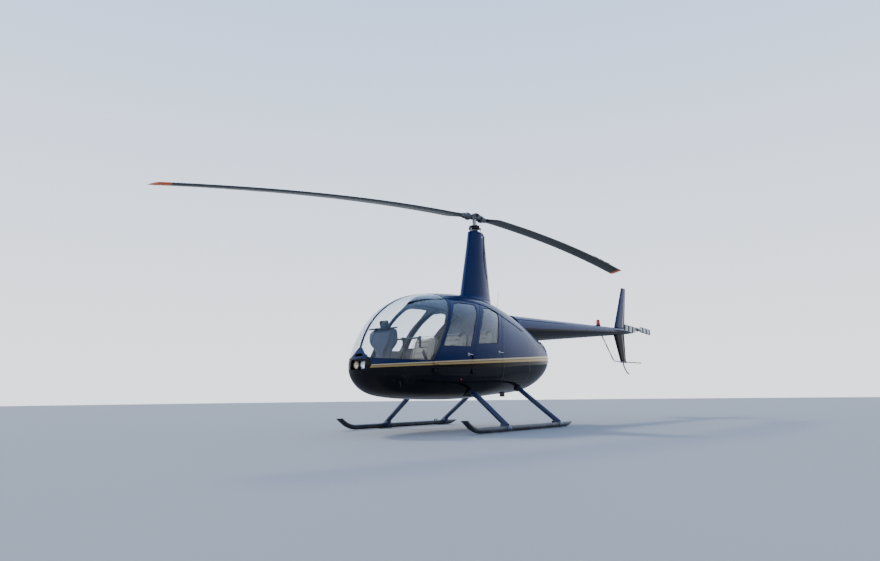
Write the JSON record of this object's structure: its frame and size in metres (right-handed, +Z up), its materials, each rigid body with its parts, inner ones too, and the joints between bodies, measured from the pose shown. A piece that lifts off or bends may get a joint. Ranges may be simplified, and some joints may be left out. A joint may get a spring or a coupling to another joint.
{
  "type": "light helicopter",
  "caption": "Light cabin helicopter on skids, with a teetering main rotor, a tail rotor in a guard, hinged cabin doors, seats and a hollow glazed cabin.",
  "frame": {"origin": "on the ground under the middle of the whole aircraft, rotor blades included", "axes": "+X towards the nose, +Y to the aircraft's left, +Z up"},
  "size_m": [11.6587, 2.1896, 3.24],
  "materials": {
    "body_paint": "gloss metallic navy above a gold line, gloss black below it",
    "gear_paint": "semi-gloss dark blue, worn on the skids",
    "glazing": "clear acrylic",
    "trim": "fine grain",
    "antenna": "matte black",
    "seat_leather": "light tan, stitched",
    "steel": "dull machined metal",
    "blade_paint": "satin dark grey with orange tips",
    "tail_blade_paint": "white with black bands",
    "beacon_lens": "clear red",
    "lamp": "sealed lamps in a dark box",
    "engine_metal": "dull casting",
    "lining": "short pile over panels",
    "guard_paint": "white with red bands"
  },
  "bodies": {
    "airframe": {"skid_left": "gear_paint", "skid_right": "gear_paint", "cross_tube_front": "gear_paint", "cross_tube_rear": "gear_paint", "windscreen_left": "glazing", "windscreen_right": "glazing", "landing_lights": "lamp", "cabin_shell": "body_paint", "roof_panel": "body_paint", "engine_cowl_left": "body_paint", "engine_cowl_right": "body_paint", "tail_boom": "body_paint", "rear_cowl": "body_paint", "engine_belly": "body_paint", "firewall": "lining", "floor": "lining", "engine": "engine_metal", "exhaust": "steel", "seat_box_front": "lining", "seat_box_rear": "lining", "seat_front_left": "seat_leather", "seat_front_right": "seat_leather", "seat_rear_left": "seat_leather", "seat_rear_right": "seat_leather", "console": "trim", "cyclic": "trim", "mast_fairing": "body_paint", "mast_tube": "steel", "fin_upper": "body_paint", "fin_lower": "body_paint", "stabilizer": "body_paint", "tail_guard": "guard_paint", "tail_gearbox": "steel", "beacon": "beacon_lens", "whip_antenna": "antenna"},
    "main_rotor": {"rotor_head": "steel", "blade_forward": "blade_paint", "blade_aft": "blade_paint"},
    "tail_rotor_assembly": {"tail_rotor": "tail_blade_paint"},
    "front_left_door": {"door_front_left": "body_paint", "door_window_front_left": "glazing"},
    "front_right_door": {"door_front_right": "body_paint", "door_window_front_right": "glazing"},
    "rear_left_door": {"door_rear_left": "body_paint", "door_window_rear_left": "glazing"},
    "rear_right_door": {"door_rear_right": "body_paint", "door_window_rear_right": "glazing"}
  },
  "joints": [
    {"name": "main_rotor_spin", "type": "hinge", "parent": "airframe", "child": "main_rotor", "pos_m": [0.799, 0, 3], "axis": [0, 0, 1], "continuous": true},
    {"name": "tail_rotor_spin", "type": "hinge", "parent": "airframe", "child": "tail_rotor_assembly", "pos_m": [-5.091, 0.17, 1.85], "axis": [0, 1, 0], "continuous": true},
    {"name": "front_left_door_hinge", "type": "hinge", "parent": "airframe", "child": "front_left_door", "pos_m": [2.5085, 0.5861, 0.8135], "axis": [0.0923, -0.0462, -0.9947], "range_deg": [0, 70]},
    {"name": "front_right_door_hinge", "type": "hinge", "parent": "airframe", "child": "front_right_door", "pos_m": [2.5085, -0.5861, 0.8135], "axis": [-0.0923, -0.0462, 0.9947], "range_deg": [0, 70]},
    {"name": "rear_left_door_hinge", "type": "hinge", "parent": "airframe", "child": "rear_left_door", "pos_m": [1.798, 0.65034, 0.86], "axis": [0.0995, -0.0316, -0.9945], "range_deg": [0, 70]},
    {"name": "rear_right_door_hinge", "type": "hinge", "parent": "airframe", "child": "rear_right_door", "pos_m": [1.798, -0.65034, 0.86], "axis": [-0.0995, -0.0316, 0.9945], "range_deg": [0, 70]}
  ],
  "couplings": [
    {"joint": "tail_rotor_spin", "follows": "main_rotor_spin", "ratio": -5.95}
  ]
}
